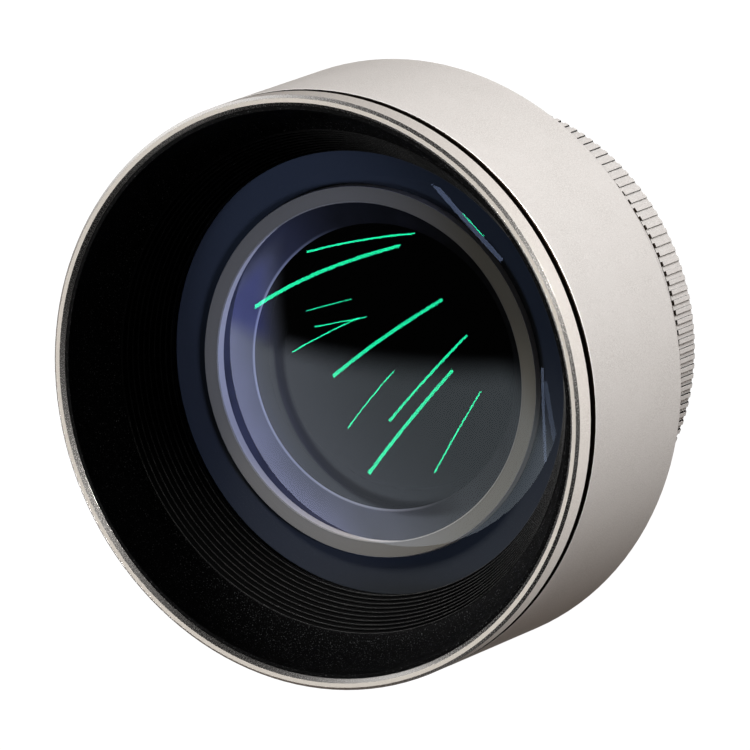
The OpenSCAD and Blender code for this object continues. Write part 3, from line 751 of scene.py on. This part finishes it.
def nodeSpan(name):
    # The outer radius, lowest and highest level of a node, in millimetres
    low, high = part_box(name)
    return high[0] / millimetre, low[2] / millimetre, high[2] / millimetre


# The front glass: domed in front, slightly hollow behind

frontGlass = {
    "domeRadius": 50.0,       # mm
    "hollowRadius": 130.0,    # mm
    "hollowReach": 24.49,     # mm, radius of the hollow
    "backwards": -0.1,        # a face looks backwards where its normal's Z is below this
}


def makeFrontGlass(sizes, shape):
    edgeR, seat, apex = nodeSpan("front_element")
    bevel = shape["bevel"]
    dome = domeArc(sizes["domeRadius"], apex, edgeR - bevel, shape["steps"])
    hollowR, reach = sizes["hollowRadius"], sizes["hollowReach"]
    drop = hollowR - math.sqrt(hollowR ** 2 - reach ** 2)
    hollow = domeArc(hollowR, seat + drop, reach, shape["steps"])[::-1]
    edge = edgeProfile(edgeR, sizes["domeRadius"], apex, seat, bevel)
    piece = turnedGlass("frontLens", np.concatenate([dome, edge, hollow]), shape,
                        (coats["frontCoat"], coats["innerCoat"]))
    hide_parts("front_element")
    return piece


frontPiece = makeFrontGlass(frontGlass, lensShape)


def coatBehind(piece, limit):
    # Gives the second coating to the faces that look backwards
    faces = piece.data.polygons
    normals = np.empty(len(faces) * 3)
    faces.foreach_get("normal", normals)
    backwards = normals[2::3] < limit
    faces.foreach_set("material_index", backwards.astype(np.int32))
    piece.data.update()


coatBehind(frontPiece, frontGlass["backwards"])

# The cemented pair, as one piece: only its outer surfaces meet air

pairGlass = {
    "domeRadius": 60.0,       # mm
    "bulgeRadius": 123.0,     # mm
    "bulgeReach": 17.64,      # mm, radius of the bulge behind
}


def makePair(sizes, shape):
    edgeR, _, apex = nodeSpan("pair_front")
    rear = nodeSpan("pair_rear")[1]
    bevel = shape["bevel"]
    dome = domeArc(sizes["domeRadius"], apex, edgeR - bevel, shape["steps"])
    bulge = domeArc(sizes["bulgeRadius"], rear, sizes["bulgeReach"], shape["steps"], side=-1)[::-1]
    edge = edgeProfile(edgeR, sizes["domeRadius"], apex, bulge[0, 1], bevel)
    piece = turnedGlass("cementedPair", np.concatenate([dome, edge, bulge]), shape,
                        (coats["pairCoat"],))
    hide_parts("pair_front", "pair_rear")
    return piece


pairPiece = makePair(pairGlass, lensShape)

# The ground edge zone of the pair's cemented surface, with painted light: pale on one side, with a
# painted highlight on its inner rim

groundEdge = {
    "jointRadius": 60.0,      # mm
    "jointMiddle": 2.2,       # mm above the pair's rearmost point
    "innerR": 14.3,           # mm
    "outerR": 18.9,           # mm
    "wallTop": 38.45,         # mm, level of the top of its outer wall
    "thickness": 0.06,        # mm
    "steps": 12,              # between the two radii
    "rim": (0.105, 0.35),     # mm, where the painted highlight on the inner rim begins and has faded
    "sharpAngle": 30,         # degrees
    "paintedLightFrom": (-0.1, 0.75),  # Y over the radius, where the painted light begins and is full
    # colour is the painted lit side, rimHighlightColour the painted highlight on the inner rim,
    # plain the painted shade of the other side
    "colour": (0.085, 0.085, 0.125, 1),
    "rimHighlightColour": (0.45, 0.45, 0.50, 1),
    "plain": (0.014, 0.014, 0.015, 1),
    "haze": (0.035, 0.035, 0.042, 1),
    "hazeScale": 300.0,       # per metre
    "hazeDetail": 2.0,
    "hazeFrom": (0.2, 1.2),
    "roughness": 0.6,
    "specular": 0.1,
}


def makeGroundGlass(finish):
    material, tree, shader, place = newMaterial(
        "groundGlass", Metallic=0.0, Roughness=finish["roughness"],
        Specular_IOR_Level=finish["specular"])
    across, radius = fromAxis(tree, place)
    rimStart, rimEnd = ((finish["innerR"] + width) * millimetre for width in finish["rim"])
    rim = opposite(tree, band(tree, radius, rimStart, rimEnd))
    # Painted light: the +Y side is pale and the rest dark, and a painted highlight lines the inner
    # rim on the pale side.
    turned = scalar(tree, "DIVIDE", parts(tree, across)["Y"], radius)
    paintedLight = band(tree, turned, *finish["paintedLightFrom"])
    rim = product(tree, rim, paintedLight)
    body = blendColours(tree, paintedLight, finish["plain"], finish["colour"])
    haze = putNode(tree, "ShaderNodeTexNoise", Scale=finish["hazeScale"],
                   Detail=finish["hazeDetail"])
    join(tree, place, haze.inputs["Vector"])
    misty = band(tree, haze.outputs["Fac"], *finish["hazeFrom"])
    body = blendColours(tree, misty, body, finish["haze"])
    join(tree, blendColours(tree, rim, body, finish["rimHighlightColour"]), shader.inputs["Base Color"])
    return material


def makeGroundEdge(sizes, shape):
    # A thin shell on the joint's sphere, z = middle + R - sqrt(R*R - r*r) between two radii, with
    # an upright wall at the outer one
    r = np.linspace(sizes["innerR"], sizes["outerR"], sizes["steps"] + 1)
    middle = nodeSpan("pair_rear")[1] + sizes["jointMiddle"]
    z = middle + sizes["jointRadius"] - np.sqrt(sizes["jointRadius"] ** 2 - r * r)
    lower = np.stack([r, z - sizes["thickness"]], axis=1)[::-1]
    upper = np.stack([r, z], axis=1)
    upper[-1, 0] -= sizes["thickness"]
    wall = np.array([[sizes["outerR"] - sizes["thickness"], sizes["wallTop"]],
                     [sizes["outerR"], sizes["wallTop"]]])
    section = np.concatenate([upper, wall, lower])
    turns = shape["turns"]
    row = np.arange(len(section))[:, None] * turns
    faces = ringQuads(row, np.roll(row, -1, axis=0), turns)
    piece = turnedPiece("groundEdge", revolve(section, turns), faces, sizes["sharpAngle"],
                        (makeGroundGlass(sizes),))
    return piece


edgePiece = makeGroundEdge(groundEdge, lensShape)
print("glasses turned")

# Floor and background: white to the eye, with the object's own soft shadow kept

studio = {
    "floorSize": 6.0,                   # m
    "floorColour": (0.60, 0.60, 0.60, 1),
    "floorRoughness": 0.8,
    "floorGlow": 1.10,                  # strength of the floor's plain white
    "bounceColour": (0.09, 0.072, 0.06, 1),  # what the object gets back from the floor
    "seenWhite": 0.92,                  # share of plain white in what the camera sees of the floor
    "mirroredWhite": 0.03,              # the same in reflections, near the object
    "whiteFrom": (0.10, 0.35),          # m, where the floor turns white in reflections
    "whiteSide": (0.0, 0.6),            # and towards which X over the radius
    "horizon": (0.05, 0.30),            # height of the white band at the horizon, in reflections
    "horizonSide": (-0.7, 0.6),         # X of the direction, from the dark side to the light one
    "darkSide": 0.12,                   # how white the backdrop is on the -X side
    "ambient": 0.13,                    # light from the room itself
    "wall": 0.08,                       # a dim wall on the -Y side, seen in reflections
    "wallSide": (-0.75, -0.35),         # Y of the direction, from the full wall to none
    "dimmest": 0.012,
}


def addFloor(values):
    # A square at z = 0: corner i lies at half the size times (+-1, +-1).
    half = values["floorSize"] / 2
    corners = np.array([[-1, -1, 0], [1, -1, 0], [1, 1, 0], [-1, 1, 0]], float) * half
    mesh = bpy.data.meshes.new("floor")
    mesh.from_pydata(corners.tolist(), [], [(0, 1, 2, 3)])
    floor = bpy.data.objects.new("floor", mesh)
    bpy.context.scene.collection.objects.link(floor)
    material, tree, shader, place = newMaterial("paleFloor", Roughness=values["floorRoughness"],
                                                Specular_IOR_Level=0.0)
    glow = putNode(tree, "ShaderNodeEmission", Strength=values["floorGlow"])
    path = tree.nodes.new("ShaderNodeLightPath").outputs
    colour = blendColours(tree, path["Is Camera Ray"], values["bounceColour"],
                          values["floorColour"])
    join(tree, colour, shader.inputs["Base Color"])
    seen = product(tree, path["Is Camera Ray"], values["seenWhite"])
    other = scalar(tree, "MAXIMUM", path["Is Glossy Ray"], path["Is Transmission Ray"])
    across, radius = fromAxis(tree, place)
    turned = scalar(tree, "DIVIDE", parts(tree, across)["X"], radius)
    far = product(tree, band(tree, radius, *values["whiteFrom"]),
                  band(tree, turned, *values["whiteSide"]))
    mirrored = product(tree, other, between(tree, far, values["mirroredWhite"], 1.0))
    mix = tree.nodes.new("ShaderNodeMixShader")
    join(tree, scalar(tree, "MAXIMUM", seen, mirrored), mix.inputs["Fac"])
    join(tree, shader.outputs["BSDF"], mix.inputs[1])
    join(tree, glow.outputs["Emission"], mix.inputs[2])
    join(tree, mix.outputs["Shader"], tree.nodes["Material Output"].inputs["Surface"])
    mesh.materials.append(material)


def setWorld(values):
    # White to the eye, a white band at the horizon in reflections, and a dim room above.
    world = bpy.data.worlds.new("studio")
    world.use_nodes = True
    tree = world.node_tree
    backdrop = tree.nodes["Background"]
    backdrop.inputs["Color"].default_value = (1, 1, 1, 1)
    sky = parts(tree, tree.nodes.new("ShaderNodeTexCoord").outputs["Generated"])
    path = tree.nodes.new("ShaderNodeLightPath").outputs
    low = opposite(tree, band(tree, sky["Z"], *values["horizon"]))
    other = scalar(tree, "MAXIMUM", path["Is Glossy Ray"], path["Is Transmission Ray"])
    side = between(tree, band(tree, sky["X"], *values["horizonSide"]), values["darkSide"], 1.0)
    mirrored = product(tree, product(tree, other, low), side)
    white = scalar(tree, "MAXIMUM", path["Is Camera Ray"], mirrored)
    room = product(tree, side, values["ambient"])
    diffuse = product(tree, path["Is Diffuse Ray"], room)
    near = opposite(tree, band(tree, sky["Y"], *values["wallSide"]))
    wall = product(tree, path["Is Glossy Ray"], product(tree, near, values["wall"]))
    dim = scalar(tree, "MAXIMUM", scalar(tree, "MAXIMUM", diffuse, wall), values["dimmest"])
    join(tree, scalar(tree, "MAXIMUM", white, dim), backdrop.inputs["Strength"])
    bpy.context.scene.world = world


addFloor(studio)
setWorld(studio)
print("floor and background set")

# Lamps, each set by the direction that it stands in as seen from the glass: azimuth from +X and
# elevation, in degrees. Size is in metres and power in watts.

lampSetting = {
    "centre": (0.0, 0.0, 0.045),        # m, what the lamps turn about
    "distance": 1.1,                    # m
}

# These light the metal. The front ring has lamps of its own, and fills stand on the far side.
metalLamps = {
    "key": {"azimuth": -66, "elevation": 33, "size": (0.60, 0.60), "power": 25.5},
    "top": {"azimuth": 90, "elevation": 62, "size": (0.60, 0.60), "power": 1.4},
    "fill": {"azimuth": 92, "elevation": 12, "size": (0.60, 0.60), "power": 12.0},
    "ringFill": {"azimuth": 92, "elevation": 4, "size": (0.20, 0.20), "power": 7.0},
    "ringKey": {"azimuth": -84, "elevation": 6, "size": (0.16, 0.16), "power": 18.5,
                "colour": (1.0, 0.98, 0.95)},
    "ringTop": {"azimuth": 90, "elevation": 60, "size": (0.50, 0.50), "power": 2.3,
                "colour": (1.0, 0.94, 0.85)},
}

# These reach only the inner pieces, and give each its own colour and bright side.
innerLamps = {
    "innerWhite": {"azimuth": -3, "elevation": 20, "size": (0.30, 0.30), "power": 19.0,
                   "colour": (1, 0.98, 0.95)},
    "innerBlue": {"azimuth": -118, "elevation": 31, "size": (0.30, 0.30), "power": 10.0,
                  "colour": (0.52, 0.62, 1.0)},
    "innerNavy": {"azimuth": 105, "elevation": 45, "size": (0.30, 0.30), "power": 3.5,
                  "colour": (0.45, 0.60, 1.0)},
    "innerLow": {"azimuth": 180, "elevation": 62, "size": (0.04, 0.04), "power": 0.045,
                 "colour": (1, 0.98, 0.95), "distance": 0.17},
    "innerSide": {"azimuth": 50, "elevation": 38, "size": (0.30, 0.30), "power": 8.0,
                  "colour": (1, 1, 1)},
}

# Long narrow strips that only the glasses mirror: where each begins and ends, as (azimuth,
# elevation), and its width in metres
streakLamps = {
    "streakA": {"start": (66, 33.5), "end": (9, 63), "width": 0.015},
    "streakB": {"start": (45, 45), "end": (-1, 61.5), "width": 0.009},
    "streakC": {"start": (86.3, 57), "end": (-18, 79), "width": 0.016},
    "streakD": {"start": (119, 64), "end": (-91, 83.5), "width": 0.012},
    "streakE": {"start": (121.5, 48), "end": (175, 83), "width": 0.015},
    "streakF": {"start": (146.5, 56), "end": (-165, 75), "width": 0.007},
    "streakG": {"start": (76, 46), "end": (57, 66), "width": 0.006},
    "streakH": {"start": (67, 53), "end": (55, 68), "width": 0.005},
    "streakI": {"start": (62, 50.5), "end": (49.5, 62.5), "width": 0.004},
    "streakJ": {"start": (106.5, 53.5), "end": (96.5, 74.5), "width": 0.006},
    "facetA": {"start": (-8, 48), "end": (-55, 64), "width": 0.022,
               "colour": (0.38, 0.47, 0.80), "radiance": 3.0},
    "facetB": {"start": (-126, 64), "end": (-172, 47), "width": 0.013,
               "colour": (0.38, 0.46, 0.70), "radiance": 3.0},
    "facetD": {"start": (-133, 62.5), "end": (-167, 45.5), "width": 0.022,
               "colour": (0.38, 0.46, 0.70), "radiance": 1.4},
    "facetC": {"start": (-25, 57), "end": (-39, 61), "width": 0.005},
}
streakColour = (0.02, 1.0, 0.46)
streakRadiance = 17.0

# A soft panel flat above the glass, which only the glasses mirror. Across runs along X and along
# runs along Y, both in heights of the panel above the glass. The lit part ends on a slanting edge
# and turns violet at the far end, and a darker arc runs through it.
softPanel = {
    "height": 0.4,            # m
    "across": (-2.4, 1.6),
    "along": (-0.9, 3.6),
    "radiance": 3.2,
    "edgeStart": -0.13,       # across where the slanting edge crosses along = 0
    "edgeSlope": 0.41,
    "edgeBlur": 0.10,
    "nearEnd": (-0.38, -0.20),
    "near": (0.29, 0.32, 0.36, 1),
    "middle": (0.43, 0.46, 0.55, 1),
    "far": (0.62, 0.66, 0.98, 1),
    "firstChange": (0.1, 1.1),  # along, from the near colour to the middle one
    "change": (1.2, 2.1),       # along, from the middle colour to the far one
    "upper": (0.17, 0.19, 0.60, 1),
    "upperFrom": (0.9, 1.4),    # along
    "upperTo": (0.80, 1.05),    # across
    "arcMiddle": (-0.07, 0.43),
    "arcRadius": 0.75,
    "arcWidth": (0.03, 0.10),
    "arcDepth": 0.45,
    "arcFrom": (0.25, 0.6),     # along
    "outer": 0.10,              # how much brighter the part outside the arc is
    "outerBlur": 0.15,
}


def direction(azimuth, elevation):
    a, e = math.radians(azimuth), math.radians(elevation)
    return Vector((math.cos(e) * math.cos(a), math.cos(e) * math.sin(a), math.sin(e)))


def addLamp(name, centre, across, size, power, receivers, colour=(1, 1, 1), back=None):
    # A rectangle with its first side along across. Its back points away from the glass, or as
    # the last argument says.
    data = bpy.data.lights.new(name, "AREA")
    data.shape = "RECTANGLE"
    data.size, data.size_y = size
    data.energy = power
    data.color = colour
    lamp = bpy.data.objects.new(name, data)
    back = back or (centre - Vector(lampSetting["centre"])).normalized()
    side = (across - across.dot(back) * back).normalized()
    turn = Matrix((side, back.cross(side), back)).transposed()
    lamp.matrix_world = Matrix.Translation(centre) @ turn.to_4x4()
    lamp.visible_camera = False
    lamp.light_linking.receiver_collection = receivers
    bpy.context.scene.collection.objects.link(lamp)
    return data


def shapePanel(data, values):
    # u and v are the places across and along. The lit part lies where u < start + slope * v.
    data.use_nodes = True
    tree = data.node_tree
    glow = tree.nodes["Emission"]
    place = parts(tree, tree.nodes.new("ShaderNodeNewGeometry").outputs["Parametric"])
    u = between(tree, place["X"], *values["across"])
    v = between(tree, place["Y"], *values["along"])
    edge = scalar(tree, "MULTIPLY_ADD", v, values["edgeSlope"], values["edgeStart"])
    past = scalar(tree, "SUBTRACT", u, edge)
    lit = opposite(tree, band(tree, past, -values["edgeBlur"], values["edgeBlur"]))
    lit = product(tree, lit, band(tree, v, *values["nearEnd"]))
    # The arc: distance from its middle, less its radius
    du = scalar(tree, "SUBTRACT", u, values["arcMiddle"][0])
    dv = scalar(tree, "SUBTRACT", v, values["arcMiddle"][1])
    squares = scalar(tree, "ADD", product(tree, du, du), product(tree, dv, dv))
    reach = scalar(tree, "SQRT", squares)
    off = scalar(tree, "ABSOLUTE", scalar(tree, "SUBTRACT", reach, values["arcRadius"]))
    arc = opposite(tree, band(tree, off, *values["arcWidth"]))
    arc = product(tree, arc, band(tree, v, *values["arcFrom"]))
    dark = between(tree, arc, 1.0, 1 - values["arcDepth"])
    outer = band(tree, reach, values["arcRadius"], values["arcRadius"] + values["outerBlur"])
    level = between(tree, outer, 1.0, 1 + values["outer"])
    lit = product(tree, lit, product(tree, dark, level))
    upper = product(tree, band(tree, v, *values["upperFrom"]),
                    opposite(tree, band(tree, u, *values["upperTo"])))
    both = scalar(tree, "MAXIMUM", lit, upper)
    first, second = (band(tree, v, *values[key]) for key in ("firstChange", "change"))
    colour = blendColours(tree, first, values["near"], values["middle"])
    colour = blendColours(tree, second, colour, values["far"])
    alone = product(tree, upper, opposite(tree, lit))
    join(tree, blendColours(tree, alone, colour, values["upper"]), glow.inputs["Color"])
    join(tree, both, glow.inputs["Strength"])


def radiantPower(radiance, size):
    # The power of a flat lamp of a given radiance: pi * area * radiance
    return math.pi * size[0] * size[1] * radiance


def receiverSet(name, pieces, state):
    group = bpy.data.collections.new(name)
    for piece in pieces:
        group.objects.link(piece)
    for row in group.collection_objects:
        row.light_linking.link_state = state
    return group


def receiverSets():
    # Which pieces each lamp lights, or leaves out
    glasses = [frontPiece, pairPiece]
    seen = [nodes["pair_retainer"], nodes["pair_cell"], edgePiece]
    trap, mouth, ring = ([nodes[name]] for name in ("ribbed_baffle", "front_cell", "front_ring"))
    dark = [nodes["inner_tube"], nodes["front_stop"]]
    plain = receiverSet("not lit by the key, top and fill",
                        glasses + seen + trap + mouth + dark + ring, "EXCLUDE")
    # The front ring's lamps stay out of what its bevels mirror
    ringOnly = receiverSet("front ring only", ring, "INCLUDE")
    return {
        "key": plain, "top": plain, "fill": plain,
        "ringKey": ringOnly, "ringTop": ringOnly, "ringFill": ringOnly,
        "innerWhite": receiverSet("lit by the white inner lamp", seen + trap, "INCLUDE"),
        "innerBlue": receiverSet("lit by the blue inner lamp", seen, "INCLUDE"),
        "innerNavy": receiverSet("lit by the navy inner lamp", [nodes["pair_cell"]], "INCLUDE"),
        "innerLow": receiverSet("lit by the low inner lamp", [nodes["pair_retainer"]], "INCLUDE"),
        "innerSide": receiverSet("lit by the side inner lamp", mouth + trap, "INCLUDE"),
        "glasses": receiverSet("lit by the glass lamps", glasses, "INCLUDE"),
    }


def addLamps(sets):
    target = Vector(lampSetting["centre"])
    away = lampSetting["distance"]
    for name, values in (metalLamps | innerLamps).items():
        side = direction(values["azimuth"], values["elevation"])
        centre = target + values.get("distance", away) * side
        addLamp(name, centre, Vector((0, 0, 1)), values["size"], values["power"], sets[name],
                values.get("colour", (1, 1, 1)))
    for name, values in streakLamps.items():
        start, end = (target + away * direction(*values[key]) for key in ("start", "end"))
        size = ((end - start).length, values["width"])
        power = radiantPower(values.get("radiance", streakRadiance), size)
        addLamp(name, (start + end) / 2, end - start, size, power, sets["glasses"],
                values.get("colour", streakColour))
    height, across, along = (softPanel[key] for key in ("height", "across", "along"))
    centre = target + height * Vector((sum(across) / 2, sum(along) / 2, 1))
    size = (height * (across[1] - across[0]), height * (along[1] - along[0]))
    power = radiantPower(softPanel["radiance"], size)
    data = addLamp("softPanel", centre, Vector((1, 0, 0)), size, power, sets["glasses"],
                   back=Vector((0, 0, 1)))
    shapePanel(data, softPanel)
    return len(metalLamps) + len(innerLamps) + len(streakLamps) + 1


print("lamps set:", addLamps(receiverSets()))

bpy.context.scene.view_settings.view_transform = "Standard"
